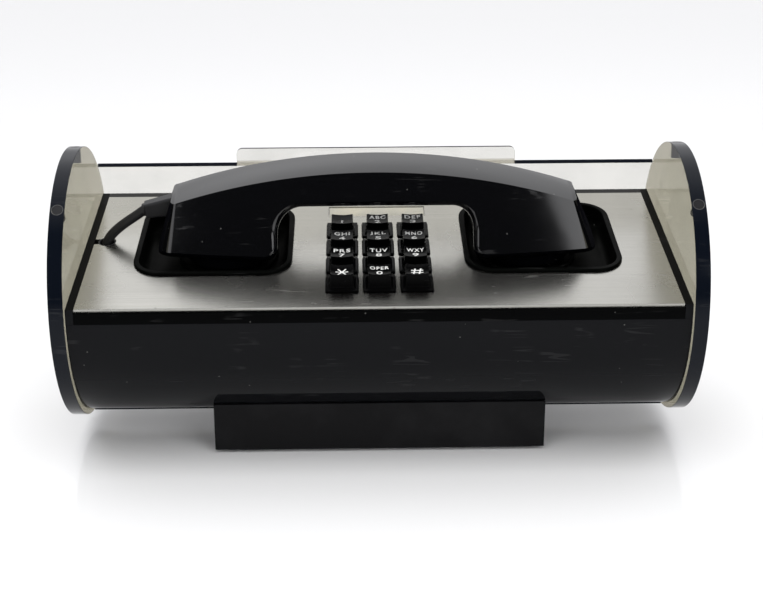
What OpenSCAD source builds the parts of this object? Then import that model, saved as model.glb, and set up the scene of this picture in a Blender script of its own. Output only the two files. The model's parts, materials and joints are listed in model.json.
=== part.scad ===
// Push-button desk telephone built into a horizontal acrylic tube, with a roll-over dust cover.
// X runs along the tube, Y from front to back and Z up, in millimetres.
// The origin is on the table, under the middle of the tube.
// Panel coordinates: x along the tube, s up the slope of the face plate, n out of the face plate.

/* [Tube body] */
// Distance between the inner faces of the two end discs
body_len = 299; // [298:1:310]
// Outside diameter of the tube
tube_d = 132; // [131.8:0.1:132.2]
// Wall thickness of the tube
tube_wall = 3; // [2.5:0.5:3.5]
// Height of the tube's axis above the table
axis_h = 80.5; // [80:0.5:83]

/* [End discs] */
// Diameter of each end disc
disc_d = 138; // [137:0.5:142]
// Thickness of each end disc
disc_t = 7.2; // [6:0.2:10]
// Diameter of the round plugs in the disc rims
plug_d = 5; // [4:0.5:6]

/* [Face plate] */
// Slope of the face plate, lower at the front
panel_tilt = 10.3; // [9:0.1:11]
// Distance from the tube's axis to the face plate's top
panel_offset = 19.1; // [18.9:0.1:19.3]
// Thickness of the face plate
panel_t = 2; // [1.5:0.5:2]
// Half of the face plate's width
panel_half = 145.5; // [144:0.5:145.6]
// Front edge of the face plate, along the slope
panel_front = -62.4; // [-62.6:0.1:-62]
// Back edge of the face plate, along the slope
panel_back = 58.6; // [58:0.1:59]

/* [Handset cups] */
// Outside width of a cup's raised lip
cup_w = 79.4; // [77:0.2:80]
// Outside depth of a cup's raised lip, along the slope
cup_l = 75.4; // [73:0.2:76]
// Distance from the middle to the centre of a cup
cup_x = 83; // [82:0.5:83.5]
// Place of the cups' centres along the slope
cup_s = 7; // [6.5:0.5:7.5]
// Depth of a cup's floor below the face plate
cup_depth = 9; // [9:0.5:12]

/* [Keypad] */
// Distance between two push buttons in the same row
key_pitch_x = 18.25; // [18.1:0.05:18.6]
// Distance between two rows of push buttons
key_pitch_s = 19.05; // [18.8:0.05:19.1]
// Size of a push button's square foot at the face plate
key_w = 15.8; // [15.2:0.1:15.9]
// Height of the front row's push buttons above the face plate
key_h = 9.1; // [8:0.1:10]
// How much lower each row stands than the row in front of it
row_drop = 0.45; // [0:0.05:0.5]

/* [Handset] */
// Height of the handle's top above the face plate
handle_top = 43.2; // [41:0.1:43.2]
// Height of the handle's underside above the face plate
handle_under = 25.8; // [25:0.1:26.5]
// Width of the handle's flat top
handle_w = 24; // [22:0.5:24]
// Diameter of the ear and mouth caps
cap_d = 45; // [43:0.5:46]

/* [Base] */
// Width of the base block
base_w = 168; // [150:1:180]
// Depth of the base block
base_l = 80; // [76:1:84]
// Thickness of the pad under the base
pad_t = 2; // [1.5:0.5:3]
// How far the pad is set in from the base's edges
pad_inset = 4; // [2:0.5:8]

/* [Cover] */
// Angle of the open cover's front edge, from straight up towards the back
cover_edge = 43; // [40:1:46]
// Angle that the cover's curved sheet spans
cover_arc = 148; // [146:1:150]
// Thickness of the cover's sheet
cover_t = 2.2; // [2:0.1:2.4]
// Half of the finger tab's width
tab_half = 74.5; // [60:0.5:90]
// Height of the finger tab
tab_h = 9.4; // [8:0.2:14]

/* [Hidden] */
$fn = 96;

eps = 0.01;
far = 400;
body_half = body_len / 2;
tube_r = tube_d / 2;
bore_r = tube_r - tube_wall;
bulk_in = panel_half + 0.2;
rail_drop = 7;
rail_half = bulk_in - 0.1;
base_front = -base_l / 2;
strip_back = -15;
cover_gap = 0.3;
cover_r = tube_r + cover_gap;
cover_out = cover_r + cover_t;
relief_r = cover_out + 0.9;
batten_top = 36;
saddle_y = -27;
base_screw_xs = [-70, -30, 30, 70];
cup_wall = 2;
cup_lip = 3;
cup_lip_h = 1.5;
cup_r = 15;
cup_floor = -cup_depth;
mouth_x = -77;
ear_x = 76.8;
head_bottom = 0.5;
card_s = 38.5;
card_w = 51;
card_l = 11.2;
card_rim = 3;
keys_s = -12.6;
frame_bottom = -16;
frame_w = 60;
frame_l = 3 * key_pitch_s + 19.65;
board_t = 1.6;
keypad_board_top = -16;
main_top = -34;
standoff_x = 36;
standoff_ss = [-36, 24];
hole_x = -139.2;
hole_s = 6.4;
cord_r = 2.5;
lead_x = 50;
lead_z = 8;
plunger_x = ear_x;
plunger_s = cup_s - 13.5;
boot_tip = [-118.4, 17.9];
boot_root = [-105, 20.3];
boot_angle = atan2(boot_root[1] - boot_tip[1], boot_root[0] - boot_tip[0]);
boot_len = norm(boot_root - boot_tip);

// ---------- helpers ----------

// Puts children in panel coordinates.
module on_panel() {
    translate([0, 0, axis_h]) rotate([panel_tilt, 0, 0]) translate([0, 0, panel_offset]) children();
}

// A bar round the tube's axis, from x0 to x1.
module axial(r, x0, x1) {
    translate([x0, 0, axis_h]) rotate([0, 90, 0]) cylinder(r = r, h = x1 - x0);
}

// A box in panel coordinates, from its low corner to its high corner.
module slab(low, high) {
    translate(low) cube(high - low);
}

// Everything below height n of the face plate.
module below(n) {
    on_panel() slab([-far, -far, -far], [far, far, n]);
}

// A rectangle with round corners, exact arcs.
module round_rect(w, l, r) {
    square([w - 2 * r, l], center = true);
    square([w, l - 2 * r], center = true);
    for (x = [-1, 1], y = [-1, 1]) translate([x * (w / 2 - r), y * (l / 2 - r)]) circle(r = r);
}

// A rounded block from n0 to n1, centred on x and s.
module round_block(x, s, n0, n1, w, l, r) {
    translate([x, s, n0]) linear_extrude(n1 - n0) round_rect(w, l, r);
}

// A post along the face plate's normal.
module post(x, s, n0, n1, r) {
    translate([x, s, n0]) cylinder(r = r, h = n1 - n0);
}

// A closed body through a row of rings that all have the same number of points.
module skin(rings) {
    count = len(rings[0]);
    last = len(rings) - 1;
    start_face = [for (i = [0 : count - 1]) i];
    end_face = [for (i = [count - 1 : -1 : 0]) last * count + i];
    sides = [
        for (j = [0 : last - 1], i = [0 : count - 1])
            let (k = (i + 1) % count)
            [j * count + i, (j + 1) * count + i, (j + 1) * count + k, j * count + k]
    ];
    polyhedron(points = [for (ring = rings) each ring], faces = concat([start_face], sides, [end_face]));
}

// ---------- base ----------

module base_block() {
    color([0.07, 0.07, 0.08]) difference() {
        translate([-base_w / 2, base_front, pad_t]) cube([base_w, base_l, 34 - pad_t]);
        axial(tube_r + 0.05, -far, far);
        intersection() {
            axial(relief_r, -far, far);
            translate([-far, strip_back, 0]) cube([2 * far, far, far]);
        }
        for (x = base_screw_xs) translate([x, saddle_y, 0]) {
            cylinder(r = 4.5, h = 10);
            cylinder(r = 2.1, h = 40);
        }
        translate([lead_x - 7.1, base_l / 2 - 14.1, 3.9]) cube([14.2, 20, 11.2]);
        translate([lead_x, base_l / 2 - 10, lead_z]) rotate([90, 0, 0])
            cylinder(r = 2.2, h = base_l / 2 - 10 - saddle_y);
        translate([lead_x, saddle_y, lead_z]) sphere(r = 2.2);
        translate([lead_x, saddle_y, lead_z]) cylinder(r = 2.2, h = 40);
    }
}

module base_pad() {
    color([0.05, 0.05, 0.05]) difference() {
        linear_extrude(pad_t) round_rect(base_w - 2 * pad_inset, base_l - 2 * pad_inset, 3);
        for (x = base_screw_xs) translate([x, saddle_y, -1]) cylinder(r = 5, h = pad_t + 2);
    }
}

module base_screws() {
    color("silver") for (x = base_screw_xs) translate([x, saddle_y, 0]) {
        difference() {
            translate([0, 0, 7]) cylinder(r = 4, h = 3);
            translate([-3, -0.5, 6]) cube([6, 1, 2]);
        }
        translate([0, 0, 10 - eps]) cylinder(r = 2, h = 23);
    }
}

module base_batten() {
    color("burlywood") difference() {
        intersection() {
            axial(bore_r - 0.02, -base_w / 2, base_w / 2);
            translate([-far, base_front, 0]) cube([2 * far, 26, batten_top]);
        }
        for (x = base_screw_xs) translate([x, saddle_y, 0]) cylinder(r = 2.05, h = 34);
        translate([lead_x, saddle_y, 0]) cylinder(r = 2.2, h = 60);
    }
}

// ---------- tube, end plates and end discs ----------

module body_tube() {
    color([0.09, 0.1, 0.12]) difference() {
        intersection() {
            axial(tube_r, -body_half, body_half);
            below(-rail_drop);
        }
        axial(bore_r, -far, far);
        for (x = base_screw_xs) translate([x, saddle_y, 0]) cylinder(r = 2.1, h = 40);
        translate([lead_x, saddle_y, 0]) cylinder(r = 2.2, h = 40);
    }
}

// side is -1 for the left end and 1 for the right end.
module bulkhead(side) {
    x0 = min(side * bulk_in, side * (body_half - 0.05));
    x1 = max(side * bulk_in, side * (body_half - 0.05));
    color([0.08, 0.08, 0.09]) difference() {
        union() {
            intersection() {
                axial(bore_r - 0.02, x0, x1);
                below(0);
            }
            intersection() {
                axial(tube_r, x0, x1);
                below(0);
                on_panel() slab([-far, -far, -rail_drop + 0.02], [far, far, 1]);
            }
        }
        on_panel() for (s = [-55, 55]) {
            translate([-far, s, -4.5]) rotate([0, 90, 0]) cylinder(r = 1.7, h = 2 * far);
            translate([side * body_half - 2.4, s, -4.5]) rotate([0, 90, 0]) cylinder(r = 3.2, h = 4.8);
        }
        for (a = [30, 150, 270]) axial_pin(a, side, 2.05, 4.6);
    }
}

// A pin along the tube's axis, at an angle round it, centred on the end disc's inner face.
module axial_pin(angle, side, r, half) {
    translate([side * body_half - half, 40 * cos(angle), axis_h - 20 + 24 * sin(angle)])
        rotate([0, 90, 0]) cylinder(r = r, h = 2 * half);
}

module bulkhead_left() { bulkhead(-1); }
module bulkhead_right() { bulkhead(1); }

// Angles of the rim plugs, from straight up towards the back.
plug_angles = [-42, 8];

module rim_plug(side, angle, r, depth) {
    translate([side * (body_half + disc_t / 2), 0, axis_h]) rotate([-angle, 0, 0])
        translate([0, 0, disc_d / 2 - depth]) cylinder(r = r, h = depth + 5);
}

module end_disc(side) {
    x0 = min(side * body_half, side * (body_half + disc_t));
    color([0.45, 0.42, 0.36, 0.55]) difference() {
        axial(disc_d / 2, x0, x0 + disc_t);
        for (a = plug_angles) rim_plug(side, a, plug_d / 2 + 0.05, 8.05);
        for (a = [30, 150, 270]) axial_pin(a, side, 2.05, 4.1);
    }
}

module end_disc_left() { end_disc(-1); }
module end_disc_right() { end_disc(1); }

module disc_dowels() {
    color("black") for (side = [-1, 1], a = [30, 150, 270]) axial_pin(a, side, 2, 4);
}

module rim_plugs() {
    color([0.3, 0.29, 0.27]) for (side = [-1, 1], a = plug_angles) intersection() {
        rim_plug(side, a, plug_d / 2, 8);
        axial(disc_d / 2 - 0.02, -far, far);
    }
}

// ---------- rails and face plate ----------

module rail_screw_holes() {
    on_panel() for (s = [-55, 55], side = [-1, 1])
        translate([side * (rail_half - 6) - 6.1, s, -4.5]) rotate([0, 90, 0]) cylinder(r = 1.55, h = 12.2);
}

module front_rail() {
    color([0.08, 0.08, 0.09]) difference() {
        intersection() {
            axial(tube_r, -rail_half, rail_half);
            on_panel() slab([-far, -far, -rail_drop + 0.02], [far, -51.2, -panel_t]);
        }
        rail_screw_holes();
    }
}

module rear_rail() {
    color([0.08, 0.08, 0.09]) difference() {
        intersection() {
            axial(tube_r, -rail_half, rail_half);
            on_panel() union() {
                slab([-far, 50.5, -rail_drop + 0.02], [far, far, -panel_t]);
                slab([-far, panel_back + 0.1, -panel_t - 1], [far, far, 0]);
            }
        }
        rail_screw_holes();
    }
}

module rail_screws() {
    color("silver") on_panel() for (s = [-55, 55], side = [-1, 1]) {
        translate([side * (body_half - 1.4) - 1, s, -4.5]) rotate([0, 90, 0]) cylinder(r = 3, h = 2);
        translate([side * (body_half - 7.4) - 5.2, s, -4.5]) rotate([0, 90, 0]) cylinder(r = 1.5, h = 10.4);
    }
}

module key_places() {
    for (col = [-1 : 1], row = [0 : 3])
        translate([col * key_pitch_x, keys_s + (row - 1.5) * key_pitch_s, 0]) children();
}

module faceplate() {
    color([0.72, 0.72, 0.69]) on_panel() difference() {
        slab([-panel_half, panel_front, -panel_t], [panel_half, panel_back, 0]);
        for (side = [-1, 1])
            round_block(side * cup_x, cup_s, -3, 1, cup_w - 1.6, cup_l - 1.6, cup_r - 0.8);
        key_places() translate([0, 0, -1]) cube([key_w + 0.5, key_w + 0.5, 4], center = true);
        translate([0, card_s, -1]) cube([card_w, card_l, 4], center = true);
        post(hole_x, hole_s, -3, 1, 4.6);
        slab([-far, hole_s - 2.6, -3], [hole_x, hole_s + 2.6, 1]);
    }
}

// ---------- handset cups ----------

module cradle_cup(side, cap_x) {
    inner_w = cup_w - 2 * cup_lip;
    inner_l = cup_l - 2 * cup_lip;
    wall_w = inner_w + 2 * cup_wall;
    wall_l = inner_l + 2 * cup_wall;
    x = side * cup_x;
    color([0.06, 0.06, 0.07]) on_panel() difference() {
        union() {
            round_block(x, cup_s, 0, cup_lip_h, cup_w, cup_l, cup_r);
            round_block(x, cup_s, cup_floor - cup_wall, 0.5, wall_w, wall_l, cup_r - cup_lip + cup_wall);
        }
        difference() {
            round_block(x, cup_s, cup_floor, 3, inner_w, inner_l, cup_r - cup_lip);
            difference() {
                post(cap_x, cup_s, cup_floor - 1, cup_floor + 2, cap_d / 2 + 3);
                post(cap_x, cup_s, cup_floor - 2, cup_floor + 3, cap_d / 2 + 1);
            }
        }
        if (side > 0) post(plunger_x, plunger_s, cup_floor - 3, cup_floor + 3, 2.6);
    }
}

module cradle_cup_left() { cradle_cup(-1, mouth_x); }
module cradle_cup_right() { cradle_cup(1, ear_x); }

// ---------- number card ----------

// A holder under the face plate, with a low platform that carries the card in the plate's cut-out.
module card_frame() {
    color([0.1, 0.1, 0.1]) on_panel() translate([0, card_s, 0]) {
        slab([-card_w / 2 - card_rim, -card_l / 2 - card_rim, -4], [card_w / 2 + card_rim, card_l / 2 + card_rim, -panel_t]);
        slab([-card_w / 2 + 0.1, -card_l / 2 + 0.1, -panel_t - eps], [card_w / 2 - 0.1, card_l / 2 - 0.1, -1.2]);
    }
}

module number_card() {
    color([0.9, 0.87, 0.78]) on_panel() translate([0, card_s, 0])
        slab([-card_w / 2 + 0.3, -card_l / 2 + 0.3, -1.2], [card_w / 2 - 0.3, card_l / 2 - 0.3, -0.9]);
}

module card_window() {
    color([0.9, 0.9, 0.88, 0.4]) on_panel() translate([0, card_s, 0])
        slab([-card_w / 2 + 0.05, -card_l / 2 + 0.05, -0.9], [card_w / 2 - 0.05, card_l / 2 - 0.05, -0.4]);
}

// ---------- handset cord ----------

module cord_grommet() {
    color([0.06, 0.06, 0.06]) on_panel() difference() {
        union() {
            post(hole_x, hole_s, -3.4, 0, 4.5);
            post(hole_x, hole_s, -3.4, -panel_t, 5.8);
        }
        post(hole_x, hole_s, -5, 3, 3.8);
    }
}

// The cord leaves the boot along its axis, then bends down through the grommet.
cord_gap = 1.5;
cord_start = boot_tip - cord_gap * [cos(boot_angle), sin(boot_angle)];
cord_end = [hole_x - 0.6, -4];
cord_lean_out = [-124.5, 12.8];
cord_lean_in = [hole_x - 0.8, 5.5];
cord_tail = [[hole_x - 0.6, -12], [hole_x, -24], [hole_x + 4, -33]];

function bezier(a, b, c, d, t) =
    pow(1 - t, 3) * a + 3 * pow(1 - t, 2) * t * b + 3 * (1 - t) * t * t * c + t * t * t * d;
cord_points = concat(
    [for (i = [0 : 14]) bezier(cord_start, cord_lean_out, cord_lean_in, cord_end, i / 14)], cord_tail
);

function cord_ring(i) =
    let (
        before = cord_points[max(i - 1, 0)],
        after = cord_points[min(i + 1, len(cord_points) - 1)],
        way = (after - before) / norm(after - before),
        side = [-way[1], way[0]],
        here = cord_points[i],
        slope = (hole_s - cup_s) * min(i / 14, 1)
    )
    [for (a = [0 : 30 : 330])
        [here[0] + cord_r * cos(a) * side[0], cup_s + slope + cord_r * sin(a), here[1] + cord_r * cos(a) * side[1]]];

module handset_cord() {
    color([0.06, 0.06, 0.06]) on_panel() skin([for (i = [0 : len(cord_points) - 1]) cord_ring(i)]);
}

// ---------- keypad ----------

module keypad_frame() {
    color([0.2, 0.2, 0.22]) on_panel() difference() {
        translate([0, keys_s, (frame_bottom - panel_t) / 2 - 0.05])
            cube([frame_w, frame_l, -frame_bottom - panel_t - 0.1], center = true);
        translate([0, keys_s, frame_bottom + 1])
            cube([frame_w - 4, frame_l - 4, 6], center = true);
        key_places() {
            slab([-key_w / 2 - 0.45, -key_w / 2 - 0.45, -10], [key_w / 2 + 0.45, key_w / 2 + 0.45, 0]);
            cube([7.4, 7.4, 60], center = true);
        }
    }
}

module keypad_board() {
    color([0.1, 0.35, 0.2]) on_panel() translate([0, keys_s, keypad_board_top - board_t / 2 - 0.05])
        cube([frame_w, frame_l, board_t], center = true);
}

module key_domes() {
    color([0.55, 0.55, 0.5]) on_panel() key_places()
        translate([0, 0, keypad_board_top - 0.05]) cylinder(r1 = 3.2, r2 = 2.2, h = 1.2);
}

// A push button: square foot, a sloping shoulder, an upright block with a level top and a stem below.
module key_cap(col, row) {
    top = key_h - row * row_drop;
    foot_top = 1;
    shoulder = 2.2;
    levels = [
        [key_w / 2, key_w / 2, key_w / 2, -6.9], [key_w / 2, key_w / 2, key_w / 2, foot_top],
        [6.7, 6.8, 6.4, foot_top], [5.7, 5.8, 5.2, shoulder], [5.5, 5.6, 4.6, top]
    ];
    color([0.08, 0.08, 0.09]) on_panel()
        translate([col * key_pitch_x, keys_s + (row - 1.5) * key_pitch_s, 0]) {
            skin([
                for (l = levels) [[-l[0], -l[1], l[3]], [l[0], -l[1], l[3]], [l[0], l[2], l[3]], [-l[0], l[2], l[3]]]
            ]);
            slab([-3.5, -3.5, -11.6], [3.5, 3.5, -6.9 + eps]);
        }
}

module key_1() { key_cap(-1, 3); }
module key_2() { key_cap(0, 3); }
module key_3() { key_cap(1, 3); }
module key_4() { key_cap(-1, 2); }
module key_5() { key_cap(0, 2); }
module key_6() { key_cap(1, 2); }
module key_7() { key_cap(-1, 1); }
module key_8() { key_cap(0, 1); }
module key_9() { key_cap(1, 1); }
module key_star() { key_cap(-1, 0); }
module key_0() { key_cap(0, 0); }
module key_hash() { key_cap(1, 0); }

// ---------- electronics ----------

module main_board() {
    color([0.12, 0.38, 0.22]) on_panel() difference() {
        slab([-95, -42, main_top - board_t], [95, 32, main_top]);
        for (x = [-1, 1], s = standoff_ss) post(x * standoff_x, s, main_top - 5, main_top + 1, 1.6);
    }
}

module board_components() {
    color([0.15, 0.15, 0.16]) on_panel() {
        slab([-85, -12, main_top], [-60, 14, main_top + 17]);
        slab([-54, 5, main_top], [-42, 25, main_top + 10]);
        slab([-24, -22, main_top], [-4, -14, main_top + 4]);
        slab([8, -22, main_top], [28, -14, main_top + 4]);
        post(-50, -24, main_top, main_top + 14, 5);
        post(-66, -28, main_top, main_top + 12, 4);
        post(50, -26, main_top, main_top + 14, 5);
        post(0, 12, main_top, main_top + 11, 4);
        post(16, 12, main_top, main_top + 11, 4);
    }
}

module board_standoffs() {
    color("gold") on_panel() for (x = [-1, 1], s = standoff_ss) difference() {
        post(x * standoff_x, s, main_top, -panel_t, 2.5);
        post(x * standoff_x, s, main_top - 1, main_top + 9, 1.55);
    }
}

module board_screws() {
    color("silver") on_panel() for (x = [-1, 1], s = standoff_ss) {
        post(x * standoff_x, s, main_top - board_t - 2, main_top - board_t, 2.8);
        post(x * standoff_x, s, main_top - board_t - eps, main_top + 6, 1.5);
    }
}

module sounder_bracket() {
    color("silver") difference() {
        union() {
            translate([-60, base_front + 3, batten_top]) cube([50, 22, 1.5]);
            translate([-60, -15, batten_top]) cube([50, 20, 1.5]);
        }
        translate([-35, -16, batten_top - 1]) cylinder(r = 5, h = 4);
    }
}

module sounder_housing() {
    color([0.16, 0.16, 0.17]) translate([-35, -16, batten_top + 1.5]) difference() {
        cylinder(r = 20, h = 12);
        translate([0, 0, 2]) cylinder(r = 18, h = 8);
        cylinder(r = 4, h = 30);
    }
}

module sounder_disc() {
    color("gold") translate([-35, -16, batten_top + 3.5]) cylinder(r = 17.5, h = 0.6);
}

module hook_switch() {
    color([0.3, 0.3, 0.32]) on_panel()
        slab([plunger_x - 7, plunger_s - 5, main_top], [plunger_x + 7, plunger_s + 5, -19.5]);
}

module hook_plunger() {
    color([0.85, 0.85, 0.82]) on_panel() {
        post(plunger_x, plunger_s, -19, cup_floor - 0.1, 2.5);
        post(plunger_x, plunger_s, -17.2, -15.7, 4);
    }
}

module line_jack() {
    color([0.12, 0.12, 0.13]) difference() {
        translate([lead_x - 7, base_l / 2 - 14, 4]) cube([14, 14, 11]);
        translate([lead_x - 4.8, base_l / 2 - 11, 6]) cube([9.6, 20, 7]);
    }
}

module line_lead() {
    lead_r = 1.9;
    lead_top = axis_h - 23;
    color([0.3, 0.3, 0.3]) {
        translate([lead_x, base_l / 2 - 14.1, lead_z]) rotate([90, 0, 0])
            cylinder(r = lead_r, h = base_l / 2 - 14.1 - saddle_y);
        translate([lead_x, saddle_y, lead_z]) sphere(r = lead_r);
        translate([lead_x, saddle_y, lead_z]) cylinder(r = lead_r, h = lead_top - lead_z);
    }
}

// ---------- handset ----------

// Height of the handle's top edge: a long arc whose crown is a little left of the middle.
crown_x = -2;
crown_r = 310;
flare = 0.42;
top_bulge = 0.8;
function top_n(x) = handle_top - crown_r + sqrt(crown_r * crown_r - pow(x - crown_x, 2));

// The underside, from the left end to the right end: head, inner corner, handle, inner corner, head.
head_corner = 6.5;
left_wall = -50.3;
right_wall = 47.6;
left_end = -104.6;
right_end = 103.8;
hook_left = 13;
hook_right = 11;
function arc_points(cx, cn, r, a0, a1, steps) =
    [for (i = [0 : steps]) let (a = a0 + (a1 - a0) * i / steps) [cx + r * cos(a), cn + r * sin(a)]];
under_points = concat(
    [[left_end, head_bottom], [-80, head_bottom]],
    arc_points(left_wall - head_corner, head_bottom + head_corner, head_corner, -90, -2, 4),
    arc_points(left_wall + hook_left + 0.1, handle_under - hook_left, hook_left, 178, 90, 6),
    [[-20, handle_under + 0.4], [0, handle_under + 0.6], [16, handle_under + 0.4]],
    arc_points(right_wall - hook_right - 0.1, handle_under - hook_right, hook_right, 90, 2, 6),
    arc_points(right_wall + head_corner, head_bottom + head_corner, head_corner, 182, 270, 4),
    [[80, head_bottom], [right_end, head_bottom]]
);

// The top edge stops short of the bottom at the ends, so the end faces slope.
function top_x(x) = x < -90 ? -90 + (x + 90) * 0.81 : x > 80 ? 80 + (x - 80) * 0.75 : x;
ring_edge = 2.5;
function handset_ring(p) =
    let (
        x_top = top_x(p[0]),
        n_top = top_n(x_top),
        half_top = handle_w / 2,
        half_low = half_top + flare * (n_top - p[1]),
        edge = ring_edge
    )
    [
        [p[0], cup_s + half_low - edge, p[1]],
        [p[0], cup_s + half_low - flare * edge, p[1] + edge],
        [x_top, cup_s + half_top, n_top],
        [x_top, cup_s + half_top / 2, n_top + top_bulge * 0.75],
        [x_top, cup_s, n_top + top_bulge],
        [x_top, cup_s - half_top / 2, n_top + top_bulge * 0.75],
        [x_top, cup_s - half_top, n_top],
        [p[0], cup_s - half_low + flare * edge, p[1] + edge],
        [p[0], cup_s - half_low + edge, p[1]]
    ];

// The end faces bulge outwards, most at the bottom; a flat strip is left up the middle.
strip_share = 0.28;
function end_bulge(n) = 6.9 - 0.18 * n;
function end_x(x, n, side, share) = x + side * (1 - share * share) * end_bulge(n);
function end_ring(p, side, share) =
    [for (q = handset_ring(p)) [end_x(q[0], q[2], side, share), cup_s + (q[1] - cup_s) * share, q[2]]];
handset_rings = concat(
    [for (share = [strip_share, 0.65, 0.85]) end_ring(under_points[0], -1, share)],
    [for (p = under_points) handset_ring(p)],
    [for (share = [0.85, 0.65, strip_share]) end_ring([right_end, head_bottom], 1, share)]
);

module handset_body() {
    color([0.05, 0.05, 0.06]) on_panel() difference() {
        skin(handset_rings);
        for (x = [mouth_x, ear_x]) post(x, cup_s, head_bottom - 1, 12, 20);
        for (x = [-72, 66]) post(x, cup_s, 10, 31, 8);
        translate([-70, cup_s, 31]) rotate([0, 90, 0]) cylinder(r = 2.5, h = 134);
        boot_place() translate([-3, 0, 0]) rotate([0, 90, 0]) cylinder(r = 3.6, h = 15);
    }
}

// Puts children at the boot's root, with their X axis pointing into the handset.
module boot_place() {
    translate([boot_root[0], cup_s, boot_root[1]]) rotate([0, -boot_angle, 0]) children();
}

// A tapering block with a flat top, and a round plug that goes into the handset.
module cord_boot() {
    tip = [3.3, 3.8];
    root = [3.6, 5.1];
    face_low_n = head_bottom + ring_edge;
    face_high_n = top_n(top_x(left_end));
    face_low = end_x(left_end, face_low_n, -1, strip_share);
    face_high = end_x(top_x(left_end), face_high_n, -1, strip_share);
    color([0.07, 0.07, 0.07]) on_panel() union() {
        difference() {
            boot_place() skin([
                for (end = [[-boot_len, tip], [6, root]])
                    let (x = end[0], w = end[1][0], h = end[1][1]) [[x, -w, -h], [x, w, -h], [x, w, h], [x, -w, h]]
            ]);
            translate([face_low - 0.05, 0, face_low_n])
                rotate([0, atan2(face_high - face_low, face_high_n - face_low_n), 0])
                    slab([0, -far, -far], [far, far, far]);
        }
        boot_place() translate([-3, 0, 0]) rotate([0, 90, 0]) cylinder(r = 3.5, h = 13);
    }
}

module handset_cap(x) {
    hole_ring = 6;
    on_panel() difference() {
        union() {
            post(x, cup_s, cup_floor + 4.5, head_bottom, cap_d / 2);
            translate([x, cup_s, cup_floor + 0.05]) cylinder(r1 = cap_d / 2 - 3, r2 = cap_d / 2, h = 4.46);
            post(x, cup_s, head_bottom - eps, head_bottom + 5, 19.9);
        }
        post(x, cup_s, cup_floor + 1.8, head_bottom + 6, 17.9);
        post(x, cup_s, cup_floor - 1, cup_floor + 3, 1);
        for (a = [0 : 60 : 300])
            post(x + hole_ring * cos(a), cup_s + hole_ring * sin(a), cup_floor - 1, cup_floor + 3, 1);
    }
}

module mouthpiece_cap() { color([0.06, 0.06, 0.07]) handset_cap(mouth_x); }
module earpiece_cap() { color([0.06, 0.06, 0.07]) handset_cap(ear_x); }

module capsule(x) {
    on_panel() post(x, cup_s, cup_floor + 1.8, head_bottom + 3, 17.8);
}

module transmitter_capsule() { color("gold") capsule(mouth_x); }
module receiver_capsule() { color("silver") capsule(ear_x); }

module handset_wires() {
    color("firebrick") on_panel() translate([-66, cup_s, 29.72]) rotate([0, 90, 0]) cylinder(r = 1.2, h = 128);
}

// ---------- cover ----------

module cover_shell() {
    color([0.5, 0.47, 0.4, 0.5]) translate([-body_half + 0.5, 0, axis_h]) rotate([0, 90, 0])
        rotate_extrude(angle = cover_arc, start = 180 - cover_edge - cover_arc)
            translate([cover_r, 0]) square([cover_t, body_len - 1]);
}

module cover_tab() {
    edge_y = cover_r * sin(cover_edge);
    edge_z = cover_r * cos(cover_edge);
    color([0.5, 0.47, 0.4, 0.5]) translate([0, 0, axis_h]) difference() {
        translate([0, edge_y + cover_t, edge_z - 1 + tab_h / 2]) rotate([90, 0, 0])
            linear_extrude(cover_t) round_rect(2 * tab_half, tab_h + 2, 3);
        rotate([-cover_edge, 0, 0]) translate([-far, 0, 0]) cube(2 * far);
        translate([-far, 0, 0]) cube([2 * far, far, edge_z + 0.05]);
    }
}

base_block();
base_pad();
base_screws();
base_batten();
body_tube();
bulkhead_left();
bulkhead_right();
end_disc_left();
end_disc_right();
disc_dowels();
rim_plugs();
front_rail();
rear_rail();
rail_screws();
faceplate();
cradle_cup_left();
cradle_cup_right();
card_frame();
number_card();
card_window();
cord_grommet();
handset_cord();
keypad_frame();
keypad_board();
key_domes();
main_board();
board_components();
board_standoffs();
board_screws();
sounder_bracket();
sounder_housing();
sounder_disc();
hook_switch();
hook_plunger();
line_jack();
line_lead();
handset_body();
mouthpiece_cap();
earpiece_cap();
transmitter_capsule();
receiver_capsule();
cord_boot();
handset_wires();
cover_shell();
cover_tab();
key_1();
key_2();
key_3();
key_4();
key_5();
key_6();
key_7();
key_8();
key_9();
key_star();
key_0();
key_hash();
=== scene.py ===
"""Looks of the desk telephone: black acrylic tube, smoked end discs, aluminium face plate, handset and cover.

Lengths are in millimetres inside the builders and become metres when a mesh is placed.
Panel coordinates are x along the tube, s up the slope of the face plate and n out of the face plate.
"""

import json
import math

import bmesh
import bpy
from mathutils import Matrix, Vector


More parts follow.
